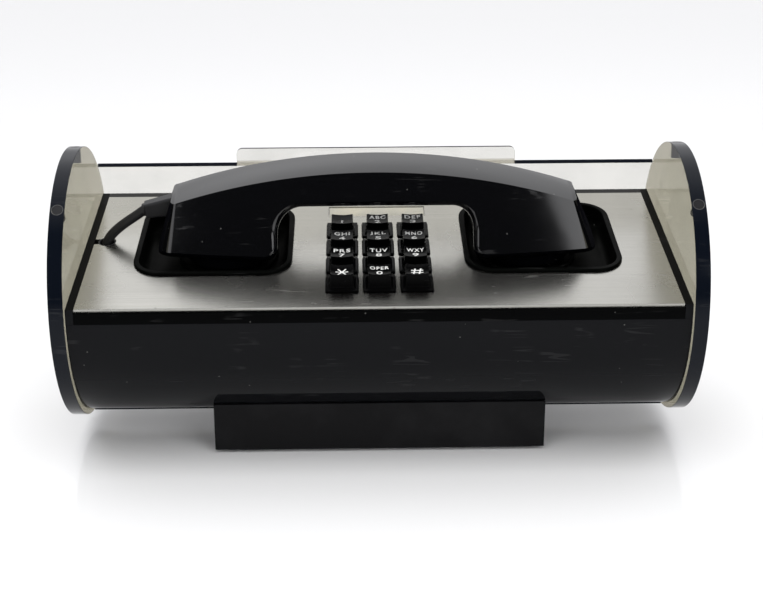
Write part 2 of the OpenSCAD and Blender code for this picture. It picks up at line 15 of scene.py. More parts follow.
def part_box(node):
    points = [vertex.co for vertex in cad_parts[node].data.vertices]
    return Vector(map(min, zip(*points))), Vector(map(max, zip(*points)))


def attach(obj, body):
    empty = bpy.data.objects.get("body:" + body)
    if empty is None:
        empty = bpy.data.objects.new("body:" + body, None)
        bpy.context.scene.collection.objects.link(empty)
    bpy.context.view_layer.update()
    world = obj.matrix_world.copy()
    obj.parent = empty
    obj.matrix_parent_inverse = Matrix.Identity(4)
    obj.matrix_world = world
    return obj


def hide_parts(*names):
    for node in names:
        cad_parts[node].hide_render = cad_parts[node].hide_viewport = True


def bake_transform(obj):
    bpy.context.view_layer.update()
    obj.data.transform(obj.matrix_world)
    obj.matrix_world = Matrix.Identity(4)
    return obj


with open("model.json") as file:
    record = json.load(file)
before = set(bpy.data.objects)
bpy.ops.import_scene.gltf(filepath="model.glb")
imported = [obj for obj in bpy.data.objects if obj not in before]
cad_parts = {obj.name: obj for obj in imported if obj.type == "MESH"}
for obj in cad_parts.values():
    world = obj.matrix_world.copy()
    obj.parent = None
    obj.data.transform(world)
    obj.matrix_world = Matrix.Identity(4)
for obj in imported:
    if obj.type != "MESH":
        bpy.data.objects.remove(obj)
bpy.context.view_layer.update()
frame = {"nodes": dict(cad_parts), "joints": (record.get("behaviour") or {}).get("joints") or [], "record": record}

MM = 0.001
NODES = frame["nodes"]


# ---------- the frame's own places ----------

def box_mm(node):
    """Lowest and highest corner of a CAD node in the frame's own axes."""
    low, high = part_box(node)
    return low / MM, high / MM


LIFT = next(joint for joint in frame["joints"] if joint["name"] == "handset_lift")
PANEL_NORMAL = Vector(LIFT["axis"]).normalized()
PANEL_TILT = math.atan2(-PANEL_NORMAL.y, PANEL_NORMAL.z)
AXIS_Z = sum(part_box("end_disc_left"), Vector()).z / 2 / MM
PLATE_TOP = max(v.co.dot(PANEL_NORMAL) for v in NODES["faceplate"].data.vertices) / MM
PANEL_OFFSET = PLATE_TOP - AXIS_Z * PANEL_NORMAL.z
TO_PANEL = (
    Matrix.Translation((0, 0, AXIS_Z))
    @ Matrix.Rotation(PANEL_TILT, 4, "X")
    @ Matrix.Translation((0, 0, PANEL_OFFSET))
)
FROM_WORLD = TO_PANEL.inverted()
CASE_AXIS = Vector((0, 0, AXIS_Z * MM))


def panel_box(node):
    """Lowest and highest corner of a CAD node in panel coordinates."""
    points = [FROM_WORLD @ (v.co / MM) for v in NODES[node].data.vertices]
    low = Vector([min(p[i] for p in points) for i in range(3)])
    high = Vector([max(p[i] for p in points) for i in range(3)])
    return low, high


def centre_of(node):
    """Middle of a CAD node on the panel: its x and its s."""
    low, high = panel_box(node)
    return (low.x + high.x) / 2, (low.y + high.y) / 2


def on_panel(x, s):
    """The place of a piece whose origin is on the face plate at x and s."""
    return TO_PANEL @ Matrix.Translation((x, s, 0))


# ---------- node materials ----------

class Graph:
    """Short ways to add nodes to a node tree."""

    def __init__(self, tree, coordinates):
        self.tree = tree
        self.coords = tree.nodes.new("ShaderNodeTexCoord").outputs[coordinates]

    def feed(self, socket, value):
        """Links another node's output or sets a plain value; a colour may come without its alpha."""
        if isinstance(value, bpy.types.NodeSocket):
            self.tree.links.new(value, socket)
        elif socket.type == "RGBA" and len(value) == 3:
            socket.default_value = (*value, 1)
        else:
            socket.default_value = value

    def node(self, kind, **inputs):
        """A new node; an input's name has underscores for its spaces."""
        made = self.tree.nodes.new(kind)
        for key, value in inputs.items():
            self.feed(made.inputs[key.replace("_", " ")], value)
        return made

    def link(self, source, target):
        self.tree.links.new(source, target)

    def scaled(self, scale, turn=(0, 0, 0)):
        made = self.node("ShaderNodeMapping", Vector=self.coords, Scale=scale, Rotation=turn)
        return made.outputs["Vector"]

    def noise(self, scale, detail=4, rough=0.6, stretch=(1, 1, 1), turn=(0, 0, 0)):
        place = self.scaled(stretch, turn)
        made = self.node("ShaderNodeTexNoise", Vector=place, Scale=scale, Detail=detail, Roughness=rough)
        return made.outputs["Fac"]

    def span(self, source, low, high, from_low=0.0, from_high=1.0):
        """Maps from_low..from_high to low..high."""
        ends = {"From_Min": from_low, "From_Max": from_high, "To_Min": low, "To_Max": high}
        return self.node("ShaderNodeMapRange", Value=source, **ends).outputs["Result"]

    def smooth(self, value, low, high):
        """0 below low, 1 above high and a soft step between them."""
        made = self.node("ShaderNodeMapRange", Value=value, From_Min=low, From_Max=high)
        made.interpolation_type = "SMOOTHSTEP"
        return made.outputs["Result"]

    def mix(self, factor, a, b):
        made = self.tree.nodes.new("ShaderNodeMix")
        made.data_type = "RGBA"
        for socket, value in ((made.inputs[0], factor), (made.inputs[6], a), (made.inputs[7], b)):
            self.feed(socket, value)
        return made.outputs[2]

    def maths(self, operation, a, b=0.0):
        made = self.tree.nodes.new("ShaderNodeMath")
        made.operation = operation
        for socket, value in zip(made.inputs, (a, b)):
            self.feed(socket, value)
        return made.outputs[0]

    def times(self, a, b):
        return self.maths("MULTIPLY", a, b)

    def plus(self, a, b):
        return self.maths("ADD", a, b)

    def towards(self, direction):
        """Cosine between the looked-up direction and a given one."""
        made = self.tree.nodes.new("ShaderNodeVectorMath")
        made.operation = "DOT_PRODUCT"
        self.link(self.coords, made.inputs[0])
        made.inputs[1].default_value = Vector(direction).normalized()
        return made.outputs["Value"]


class Paint(Graph):
    """A graph that fills one new material."""

    def __init__(self, name):
        self.mat = bpy.data.materials.new(name)
        self.mat.use_nodes = True
        super().__init__(self.mat.node_tree, "Object")
        self.out = self.tree.nodes["Material Output"]
        self.bsdf = self.tree.nodes["Principled BSDF"]

    def bump(self, height, strength, distance):
        made = self.node("ShaderNodeBump", Height=height, Strength=strength, Distance=distance)
        self.link(made.outputs["Normal"], self.bsdf.inputs["Normal"])
        return made.outputs["Normal"]

    def put(self, **inputs):
        """Sets or links inputs of the Principled shader."""
        for key, value in inputs.items():
            self.feed(self.bsdf.inputs[key.replace("_", " ")], value)

    def either(self, factor, first, second):
        """The first shader where factor is 0, the second where it is 1."""
        made = self.tree.nodes.new("ShaderNodeMixShader")
        for socket, source in zip(made.inputs, (factor, first, second)):
            self.link(source, socket)
        return made.outputs[0]

    def show(self, shader):
        self.link(shader, self.out.inputs["Surface"])

    def specks(self, scale, share):
        """White on a few small dots, black elsewhere."""
        cells = self.node("ShaderNodeTexVoronoi", Vector=self.coords, Scale=scale)
        near = self.maths("LESS_THAN", cells.outputs["Distance"], 0.16)
        pick = self.node("ShaderNodeSeparateColor", Color=cells.outputs["Color"])
        some = self.maths("LESS_THAN", pick.outputs[0], share)
        return self.times(near, some)

    def scratches(self, scale, turn, width=0.012):
        """Thin bright lines that fade in and out."""
        lines = self.noise(scale, 2, 0.5, (0.06, 1, 1), turn)
        near = self.maths("ABSOLUTE", self.maths("SUBTRACT", lines, 0.5))
        thin = self.maths("LESS_THAN", near, width)
        gate = self.span(self.noise(scale * 0.35, 2), 0.0, 1.0, 0.58, 0.66)
        return self.times(thin, gate)


def dim(colour, share):
    return tuple(v * share for v in colour)


def gloss_black(name, colour, rough, mirror=0.5, dust=0.02, waves=0.05, inside=None):
    """Polished black plastic: fine scratches, dust specks and a slow wave in the reflections.

    inside is the tint seen from within the piece, for the edges of a see-through sheet.
    """
    p = Paint(name)
    haze = p.noise(22, 3)
    marks = p.maths("MAXIMUM", p.scratches(160, (0.3, 0.2, 0.5)), p.scratches(120, (1.2, 0.4, 2.0)))
    dots = p.specks(420, dust)
    tone = p.mix(p.times(dots, 0.5), colour, (0.16, 0.16, 0.15))
    tone = p.mix(p.times(marks, 0.03), tone, (0.3, 0.3, 0.3))
    base = p.span(haze, rough * 0.75, rough * 1.5, 0.3, 0.7)
    p.put(Base_Color=tone, IOR=1.49, Specular_IOR_Level=mirror)
    p.put(Roughness=p.plus(base, p.times(marks, 0.12)))
    p.bump(p.noise(30, 2, 0.4), waves, 0.002)
    if inside:
        clear = p.node("ShaderNodeBsdfTransparent", Color=inside)
        from_within = p.node("ShaderNodeNewGeometry").outputs["Backfacing"]
        p.show(p.either(from_within, p.bsdf.outputs[0], clear.outputs[0]))
    return p.mat


def smoked_sheet(name, tint, rough=0.02):
    """See-through smoked acrylic: a tint for light that passes and a clear reflection on top."""
    p = Paint(name)
    marks = p.maths("MAXIMUM", p.scratches(200, (0.1, 0.9, 0.4)), p.scratches(140, (1.0, 0.2, 1.7)))
    haze = p.span(p.noise(16, 4), rough * 0.6, rough * 1.8, 0.35, 0.7)
    dirt = p.noise(35, 4)
    tone = p.mix(p.span(dirt, 0, 1, 0.4, 0.7), tint, dim(tint, 0.96))
    clear = p.node("ShaderNodeBsdfTransparent", Color=tone)
    polish = p.plus(haze, p.times(marks, 0.1))
    waves = p.bump(p.noise(14, 2, 0.4), 0.02, 0.002)
    shine = p.node("ShaderNodeBsdfGlossy", Roughness=polish, Normal=waves)
    facing = p.node("ShaderNodeLayerWeight", Blend=0.5).outputs["Facing"]
    edge_on = p.times(p.maths("POWER", facing, 5.0), 0.35)
    surface = p.either(p.plus(edge_on, 0.03), clear.outputs[0], shine.outputs[0])
    in_shadow = p.node("ShaderNodeLightPath").outputs["Is Shadow Ray"]
    p.show(p.either(in_shadow, surface, clear.outputs[0]))
    return p.mat


def brushed_aluminium(name, tint, tilt):
    """Fine lines along X, with wide stains, a few scratches and dark specks."""
    p = Paint(name)
    turn = (tilt, 0, 0)
    lines = p.noise(1500, 3, 0.7, (0.008, 1, 1), turn)
    fine = p.noise(3600, 2, 0.6, (0.008, 1, 1), turn)
    stains = p.noise(13, 5, 0.6)
    marks = p.scratches(110, (0.2, 0.1, 0.8), 0.008)
    dots = p.specks(300, 0.025)
    tone = p.mix(p.span(lines, 0, 1, 0.35, 0.65), dim(tint, 0.93), tint)
    tone = p.mix(p.span(stains, 0, 0.3, 0.45, 0.75), tone, dim(tint, 0.75))
    tone = p.mix(p.times(dots, 0.5), tone, (0.12, 0.12, 0.11))
    rough = p.span(stains, 0.23, 0.3, 0.35, 0.7)
    rough = p.plus(rough, p.times(marks, 0.1))
    p.put(Base_Color=tone, Metallic=1.0, Roughness=rough)
    height = p.plus(lines, p.times(fine, 0.5))
    p.bump(height, 0.025, 0.0003)
    return p.mat


def matt_paint(name, colour, rough, grain, depth, mirror=0.5):
    """Satin paint or moulded plastic with a fine grain and paler rubbed patches."""
    p = Paint(name)
    fine = p.noise(grain, 3, 0.6)
    patches = p.noise(26, 4)
    pale = tuple(min(1.0, v * 1.9 + 0.01) for v in colour)
    p.put(Base_Color=p.mix(p.span(patches, 0, 0.5, 0.5, 0.8), colour, pale))
    p.put(Roughness=p.span(patches, rough * 0.85, min(1.0, rough * 1.15), 0.3, 0.7))
    p.put(Specular_IOR_Level=mirror)
    p.bump(fine, 0.35, depth)
    return p.mat


def metal(name, tint, rough, turned=False):
    """Plain metal with turning or rolling marks."""
    p = Paint(name)
    stretch = (1, 1, 14) if turned else (0.05, 1, 1)
    lines = p.noise(500, 3, 0.6, stretch)
    p.put(Base_Color=p.mix(p.span(lines, 0, 1, 0.3, 0.7), dim(tint, 0.7), tint), Metallic=1.0)
    p.put(Roughness=p.span(p.noise(60, 3), rough * 0.7, rough * 1.4, 0.3, 0.7))
    p.bump(lines, 0.12, 0.0003)
    return p.mat


def board_green(name):
    """Circuit board: green mask with paler copper tracks showing through."""
    p = Paint(name)
    place = p.scaled((1, 1, 1), (PANEL_TILT, 0, 0))
    tracks = p.node("ShaderNodeTexBrick", Vector=place, Scale=60, Mortar_Size=0.03)
    tone = p.mix(tracks.outputs["Fac"], (0.015, 0.10, 0.04), (0.05, 0.22, 0.08))
    p.put(Base_Color=tone, Roughness=0.35, Coat_Weight=0.3)
    p.bump(tracks.outputs["Fac"], 0.2, 0.0002)
    return p.mat


def paper(name, colour):
    """Card stock with soft fibres and faint yellow patches."""
    p = Paint(name)
    fibre = p.noise(700, 5, 0.7)
    aged = p.noise(40, 3)
    tone = p.mix(p.span(fibre, 0, 0.4, 0.4, 0.7), colour, dim(colour, 0.86))
    tone = p.mix(p.span(aged, 0, 0.5, 0.5, 0.8), tone, (0.66, 0.58, 0.42))
    p.put(Base_Color=tone, Roughness=0.8)
    p.bump(fibre, 0.2, 0.0002)
    return p.mat


def wood(name):
    """Plain pine with rings stretched along X."""
    p = Paint(name)
    rings = p.node("ShaderNodeTexWave", Vector=p.scaled((0.1, 1, 1)), Scale=90, Distortion=3)
    rings.wave_type = "RINGS"
    p.put(Base_Color=p.mix(rings.outputs["Fac"], (0.30, 0.17, 0.08), (0.55, 0.38, 0.22)), Roughness=0.7)
    p.bump(rings.outputs["Fac"], 0.15, 0.0005)
    return p.mat


def clear_window(name):
    """Thin clear acrylic that lets the card show through."""
    p = Paint(name)
    haze = p.span(p.noise(90, 3), 0.03, 0.1, 0.3, 0.7)
    p.put(Base_Color=(0.95, 0.95, 0.92), Roughness=haze, IOR=1.49, Transmission_Weight=1.0)
    p.bump(p.noise(60, 2), 0.03, 0.001)
    clear = p.node("ShaderNodeBsdfTransparent")
    in_shadow = p.node("ShaderNodeLightPath").outputs["Is Shadow Ray"]
    p.show(p.either(in_shadow, p.bsdf.outputs[0], clear.outputs[0]))
    return p.mat


MATERIALS = {
    "matt_black": matt_paint("matt_black_paint", (0.004, 0.004, 0.0045), 0.42, 1300, 0.0003, 0.12),
    "rubber": matt_paint("black_rubber", (0.010, 0.010, 0.011), 0.5, 1500, 0.0003, 0.4),
    "steel": metal("zinc_steel", (0.62, 0.62, 0.6), 0.3, True),
    "batten_wood": wood("pine_batten"),
    "black_acrylic": gloss_black("black_acrylic", (0.0045, 0.0048, 0.0057), 0.06, 0.08),
    "smoked_acrylic": smoked_sheet("smoked_acrylic_disc", (0.60, 0.585, 0.515)),
    "black_plastic": gloss_black("black_moulded_plastic", (0.0012, 0.0014, 0.0012), 0.4, 0.02, 0.01, 0.08),
    "plug_plastic": gloss_black("rim_plug_plastic", (0.005, 0.005, 0.006), 0.2),
    "brushed_aluminium": brushed_aluminium("brushed_aluminium", (0.40, 0.395, 0.365), PANEL_TILT),
    "card_paper": paper("card_paper", (0.46, 0.445, 0.385)),
    "clear_plastic": clear_window("clear_window_plastic"),
    "dark_grey_plastic": matt_paint("dark_grey_plastic", (0.03, 0.03, 0.034), 0.5, 900, 0.0003),
    "circuit_board": board_green("circuit_board_green"),
    "pale_rubber": matt_paint("pale_rubber", (0.42, 0.42, 0.38), 0.6, 1200, 0.0002),
    "brass": metal("turned_brass", (0.78, 0.58, 0.28), 0.25, True),
    "white_plastic": matt_paint("white_plastic", (0.7, 0.7, 0.66), 0.4, 900, 0.0002),
    "grey_cable": matt_paint("grey_cable_sheath", (0.09, 0.09, 0.09), 0.5, 1100, 0.0002),
    "handset_plastic": gloss_black("handset_plastic", (0.0012, 0.0013, 0.0018), 0.06, 0.5, 0.02, 0.04),
    "aluminium_can": metal("capsule_aluminium", (0.72, 0.72, 0.72), 0.3),
    "red_cable": matt_paint("red_wire_sheath", (0.42, 0.03, 0.03), 0.45, 1100, 0.0002),
    "key_plastic": gloss_black("key_plastic", (0.0008, 0.0008, 0.0009), 0.2, 0.06, 0.02, 0.08),
}
COVER_SHEET = smoked_sheet("smoked_acrylic_sheet", (0.91, 0.905, 0.885))
ACRYLIC_EDGE = gloss_black(
    "smoked_acrylic_edge", (0.003, 0.0045, 0.008), 0.08, 0.14, 0.02, 0.06, inside=(0.62, 0.6, 0.54),
)
RAIL_BLACK = gloss_black("rail_black", (0.0008, 0.0009, 0.001), 0.3, 0.03)
# A thin pale grey ring round each rim plug, lighter than the dark rim.
PLUG_RING = matt_paint("rim_plug_pale_ring", (0.05, 0.05, 0.05), 0.35, 900, 0.0001)
# Painted shade: the handset's end faces get a matt copy of its black plastic without reflections, so they read
# dark.
HANDSET_END_SHADE = matt_paint("handset_end_painted_shade", (0.003, 0.003, 0.004), 0.6, 1300, 0.0001, 0.0)
LEGEND_INK = matt_paint("legend_ink", (0.72, 0.72, 0.7), 0.5, 2000, 0.0001)


# ---------- mesh helpers ----------

def in_scene(name, data):
    """A new object that holds data, linked to the scene."""
    made = bpy.data.objects.new(name, data)
    bpy.context.scene.collection.objects.link(made)
    return made


def new_mesh(name, points, faces, place=None):
    """A mesh object from points in millimetres, moved by place and then scaled to metres."""
    mesh = bpy.data.meshes.new(name)
    mesh.from_pydata([tuple(p) for p in points], [], faces)
    if place is not None:
        mesh.transform(place)
    mesh.transform(Matrix.Scale(MM, 4))
    made = in_scene(name, mesh)
    tidy(made)
    return made


def tidy(thing):
    """Merges doubled points and turns all faces outwards."""
    work = bmesh.new()
    work.from_mesh(thing.data)
    bmesh.ops.remove_doubles(work, verts=work.verts, dist=1e-7)
    bmesh.ops.dissolve_degenerate(work, edges=work.edges, dist=1e-7)
    bmesh.ops.recalc_face_normals(work, faces=work.faces)
    work.to_mesh(thing.data)
    work.free()


def bake(thing):
    """Applies every modifier."""
    depsgraph = bpy.context.evaluated_depsgraph_get()
    done = bpy.data.meshes.new_from_object(thing.evaluated_get(depsgraph))
    thing.modifiers.clear()
    thing.data = done


def round_edges(thing, width, segments, angle):
    """A modifier that rounds edges sharper than angle degrees; width is in millimetres."""
    rounder = thing.modifiers.new("round", "BEVEL")
    rounder.width = width * MM
    rounder.segments = segments
    rounder.limit_method = "ANGLE"
    rounder.angle_limit = math.radians(angle)


def bevel(thing, width, segments, angle):
    """Rounds the edges of a mesh for good."""
    round_edges(thing, width, segments, angle)
    bake(thing)


def cut(thing, cutters):
    """Subtracts the cutter objects and deletes them."""
    for cutter in cutters:
        knife = thing.modifiers.new("cut", "BOOLEAN")
        knife.operation = "DIFFERENCE"
        knife.solver = "EXACT"
        knife.object = cutter
        bake(thing)
        bpy.data.objects.remove(cutter, do_unlink=True)


def shade(thing, angle=30):
    """Smooth shading that still leaves large flat faces flat."""
    thing.data.shade_smooth()
    thing.data.set_sharp_from_angle(angle=math.radians(angle))
    weigh = thing.modifiers.new("weigh", "WEIGHTED_NORMAL")
    weigh.keep_sharp = True
    bake(thing)


def paint_faces(thing, paints, choose):
    """Puts paints on a mesh, choose(polygon) giving each face the number of its paint."""
    thing.data.materials.clear()
    for paint in paints:
        thing.data.materials.append(paint)
    for polygon in thing.data.polygons:
        polygon.material_index = choose(polygon)


def finish_piece(thing, slot, body, stands_for=(), angle=30, paints=None, choose=None):
    """Gives a piece its materials, smooth shading and body, and hides the CAD parts it stands for."""
    paint_faces(thing, paints or [MATERIALS[slot]], choose or (lambda polygon: 0))
    shade(thing, angle)
    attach(thing, body)
    if stands_for:
        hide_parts(*stands_for)


def skin(rings, closed_ends=True):
    """Points and faces of a body through rings that have the same number of points."""
    count = len(rings[0])
    points = [p for ring in rings for p in ring]
    faces = []
    for j in range(len(rings) - 1):
        for i in range(count):
            k = (i + 1) % count
            faces.append((j * count + i, (j + 1) * count + i, (j + 1) * count + k, j * count + k))
    if closed_ends:
        last = (len(rings) - 1) * count
        faces.append(tuple(range(count)))
        faces.append(tuple(last + i for i in reversed(range(count))))
    return points, faces


def lathe(profile, sides):
    """Turns (radius, height) pairs round Z. The first and last pair may have radius 0."""
    rings = []
    for radius, height in profile:
        r = max(radius, 1e-6)
        rings.append([
            Vector((r * math.cos(2 * math.pi * i / sides), r * math.sin(2 * math.pi * i / sides), height))
            for i in range(sides)
        ])
    return skin(rings)


def turned(name, profile, sides, place, hollow=False):
    """A lathe's mesh. A hollow one has a closed profile away from the axis, so it has no end faces."""
    points, faces = lathe(profile, sides)
    return new_mesh(name, points, faces[:-2] if hollow else faces, place)


def drill(radius, n0, n1, sides, place):
    """A round cutter from n0 to n1."""
    return turned("drill", [(radius, n0), (radius, n1)], sides, place)


def skinned(name, rings, place=None):
    points, faces = skin(rings)
    return new_mesh(name, points, faces, place)


def mesh_of(curve):
    """The mesh that an outline or a text fills."""
    holder = in_scene("holder", curve)
    depsgraph = bpy.context.evaluated_depsgraph_get()
    mesh = bpy.data.meshes.new_from_object(holder.evaluated_get(depsgraph))
    bpy.data.objects.remove(holder, do_unlink=True)
    return mesh


def arc(cx, cy, r, a0, a1, steps):
    """Points on an arc, angles in degrees."""
    angles = [math.radians(a0 + (a1 - a0) * i / steps) for i in range(steps + 1)]
    return [(cx + r * math.cos(a), cy + r * math.sin(a)) for a in angles]


def rounded_rect(w, l, r, steps=8, centre=(0, 0)):
    """Outline of a rectangle with round corners, counter-clockwise from the right side."""
    points = []
    for x, y, a0 in ((1, 1, 0), (-1, 1, 90), (-1, -1, 180), (1, -1, 270)):
        points += arc(centre[0] + x * (w / 2 - r), centre[1] + y * (l / 2 - r), r, a0, a0 + 90, steps)
    return points


def plate(name, outer, holes, n0, n1, edge, place):
    """A flat plate with holes, its edges rounded by a small arc."""
    curve = bpy.data.curves.new(name, "CURVE")
    curve.dimensions = "2D"
    curve.fill_mode = "BOTH"
    curve.extrude = (n1 - n0) / 2 - edge
    curve.bevel_depth = edge
    curve.bevel_resolution = 2
    curve.offset = -edge
    for outline in [outer] + holes:
        spline = curve.splines.new("POLY")
        spline.points.add(len(outline) - 1)
        for point, (x, y) in zip(spline.points, outline):
            point.co = (x, y, 0, 1)
        spline.use_cyclic_u = True
    mesh = mesh_of(curve)
    mesh.name = name
    mesh.transform(Matrix.Scale(MM, 4) @ place @ Matrix.Translation((0, 0, (n0 + n1) / 2)))
    made = in_scene(name, mesh)
    tidy(made)
    return made


def box_outline(x0, x1, y0, y1):
    return [(x1, y0), (x1, y1), (x0, y1), (x0, y0)]


# ---------- end discs, tube and rails ----------

ROUND_SIDES = 288
PLUG_ANGLES = (-42, 8)
DISC_STEP = 3
TUBE_R = box_mm("end_disc_left")[1].y - DISC_STEP


def end_disc(node):
    """A thick disc with a slightly eased rim and two drilled holes for the rim plugs."""
    low, high = box_mm(node)
    radius = (high.y - low.y) / 2
    ease = 0.35
    thick = high.x - low.x
    profile = [(0, 0)]
    profile += [(radius - ease, 0)] + arc(radius - ease, ease, ease, -90, 0, 3)[1:]
    profile += arc(radius - ease, thick - ease, ease, 0, 90, 3) + [(0, thick)]
    along = Matrix.Translation((low.x, 0, AXIS_Z)) @ Matrix.Rotation(math.pi / 2, 4, "Y")
    made = turned(node + "_polished", profile, ROUND_SIDES, along)
    hole_r = 2.58
    hole_depth = 8.05
    ring_in = 2.6
    ring_out = 2.95
    ring_low = -0.4
    ring_top = 0.03
    profile = [(ring_in, ring_low), (ring_in, ring_top), (ring_out, ring_top), (ring_out, ring_low)]
    profile.append(profile[0])
    drills = []
    for number, angle in enumerate(PLUG_ANGLES):
        place = (
            Matrix.Translation(((low.x + high.x) / 2, 0, AXIS_Z))
            @ Matrix.Rotation(-math.radians(angle), 4, "X")
            @ Matrix.Translation((0, 0, radius))
        )
        drills.append(drill(hole_r, -hole_depth, 12, 32, place))
        ring = turned(node + "_pale_ring_" + str(number), profile, 40, place, True)
        finish_piece(ring, "smoked_acrylic", "root", (), 30, [PLUG_RING])
    cut(made, drills)
    finish_piece(
        made, "smoked_acrylic", "root", [node], 30, [MATERIALS["smoked_acrylic"], ACRYLIC_EDGE],
        lambda polygon: 0 if abs(polygon.normal.x) > 0.9 else 1,
    )


end_disc("end_disc_left")
end_disc("end_disc_right")


def tube_ring(r, low_n, steps=140):
    """Points (s, n) round the open tube, from one edge of its gap to the other."""
    start = math.degrees(math.asin((low_n + PANEL_OFFSET) / r))
    return arc(0, -PANEL_OFFSET, r, 180 - start, 360 + start, steps)


def tube_body():
    """The open tube, from end to end, with the gap that the face plate and its rails fill."""
    low, high = box_mm("body_tube")
    wall = 3
    rail_low = panel_box("front_rail")[0].z - 0.02
    outline = tube_ring(TUBE_R, rail_low) + list(reversed(tube_ring(TUBE_R - wall, rail_low)))
    rings = [[Vector((x, s, n)) for s, n in outline] for x in (low.x, high.x)]
    points, faces = skin(rings)
    count = len(outline)
    half = count // 2
    faces = faces[:-2]
    for base in (0, count):
        for i in range(half - 1):
            faces.append((base + i, base + i + 1, base + count - 2 - i, base + count - 1 - i))
    made = new_mesh("body_tube_polished", points, faces, TO_PANEL)
    bevel(made, 0.25, 2, 50)
    finish_piece(made, "black_acrylic", "root", ["body_tube"])


tube_body()


def keep_cad(node, slot, width=0.0):
    """A CAD node that keeps its own shape, with rounded edges where width is given."""
    thing = NODES[node]
    paint_faces(thing, [MATERIALS[slot]], lambda polygon: 0)
    if width:
        round_edges(thing, width, 2, 50)


# ---------- face plate ----------

CUP_CORNER = 15


def face_plate():
    """The brushed plate with its holes for cups, buttons and card and its open slot for the cord."""
    low, high = panel_box("faceplate")
    under_lip = 0.8
    holes = []
    for node in ("cradle_cup_left", "cradle_cup_right"):
        cup_low, cup_high = panel_box(node)
        wide = cup_high.x - cup_low.x - 2 * under_lip
        tall = cup_high.y - cup_low.y - 2 * under_lip
        holes.append(rounded_rect(wide, tall, CUP_CORNER - under_lip, 8, centre_of(node)))
    key_room = 0.2
    for name in KEY_NAMES:
        key_low, key_high = panel_box("key_" + name)
        wide = key_high.x - key_low.x + 2 * key_room
        holes.append(rounded_rect(wide, wide, 0.6, 3, centre_of("key_" + name)))
    c_low, c_high = panel_box("card_window")
    room = 0.05
    holes.append(box_outline(c_low.x - room, c_high.x + room, c_low.y - room, c_high.y + room))
    gx, gy = centre_of("cord_grommet")
    notch = 2.6
    hole = 4.6
    open_angle = math.degrees(math.asin(notch / hole))
    edge = [(low.x, high.y), (low.x, gy + notch)]
    edge += arc(gx, gy, hole, 180 - open_angle, -180 + open_angle, 24)
    edge += [(low.x, gy - notch), (low.x, low.y)]
    outer = [(high.x, low.y), (high.x, high.y)] + edge
    made = plate("faceplate_brushed", outer, holes, low.z, high.z, 0.12, TO_PANEL)
    finish_piece(made, "brushed_aluminium", "root", ["faceplate"], 10)


KEY_NAMES = ["1", "2", "3", "4", "5", "6", "7", "8", "9", "star", "0", "hash"]
KEY_LETTERS = {
    "2": ("ABC", 8.4), "3": ("DEF", 8.2), "4": ("GHI", 7.8), "5": ("JKL", 8.1), "6": ("MNO", 8.7),
    "7": ("PRS", 8.3), "8": ("TUV", 8.8), "9": ("WXY", 8.8), "0": ("OPER", 9.2),
}


def key_marks(name):
    """What is printed on a button: (characters, place along s, height, width)."""
    if name == "star":
        return [("star", -1.8, 6.0, 6.2)]
    if name == "hash":
        return [("hash", -1.9, 5.8, 5.9)]
    marks = [(name, -2.9, 3.6, 1.0 if name == "1" else 3.1)]
    if name in KEY_LETTERS:
        text, wide = KEY_LETTERS[name]
        marks.append((text, 1.7, 2.6 if name == "0" else 3.1, wide))
    return marks


face_plate()


# ---------- handset cups ----------

def cradle_cup(node, cap):
    """A moulded tub with a rolled lip, round corners and a locating ring for the handset's cap."""
    low, high = panel_box(node)
    wide = high.x - low.x
    tall = high.y - low.y
    floor = low.z + 2
    lip = high.z
    soft = 0.8
    sweep = 4
    quarter = [(1 - math.cos(a), math.sin(a)) for a in (0.4, 0.8, 1.2, 1.57)]
    steps = [(30, low.z), (2, low.z), (1, low.z + 1), (1, -0.05), (0, 0), (0, lip - soft)]
    steps += [(soft * a, lip - soft + soft * b) for a, b in quarter]
    steps += [(2.2, lip)]
    steps += [(2.2 + soft * b, lip - soft * a) for a, b in quarter]
    steps += [(3.0, 0.0), (3.3, floor + sweep)]
    steps += [(3.3 + sweep * a, floor + sweep - sweep * b) for a, b in quarter]
    steps += [(30, floor)]
    rings = []
    for inset, n in steps:
        corner = max(CUP_CORNER - inset, 1.5)
        outline = rounded_rect(wide - 2 * inset, tall - 2 * inset, corner, 10, centre_of(node))
        rings.append([Vector((x, y, n)) for x, y in outline])
    made = skinned(node + "_moulded", rings, TO_PANEL)
    cap_low, cap_high = panel_box(cap)
    room = 1
    inner = (cap_high.x - cap_low.x) / 2 + room
    profile = [(inner, floor - 0.5), (inner + 2, floor - 0.5), (inner + 2, floor + 1.6)]
    profile += [(inner + 1.6, floor + 2), (inner + 0.4, floor + 2), (inner, floor + 1.6)]
    profile.append(profile[0])
    ring = turned(node + "_locating_ring", profile, 96, on_panel(*centre_of(cap)), True)
    if node == "cradle_cup_right":
        bore_r = 2.6
        cut(made, [drill(bore_r, -30, 10, 32, on_panel(*centre_of("hook_plunger")))])
    finish_piece(made, "black_plastic", "root", [node])
    finish_piece(ring, "black_plastic", "root")


cradle_cup("cradle_cup_left", "mouthpiece_cap")
cradle_cup("cradle_cup_right", "earpiece_cap")


# ---------- handset ----------

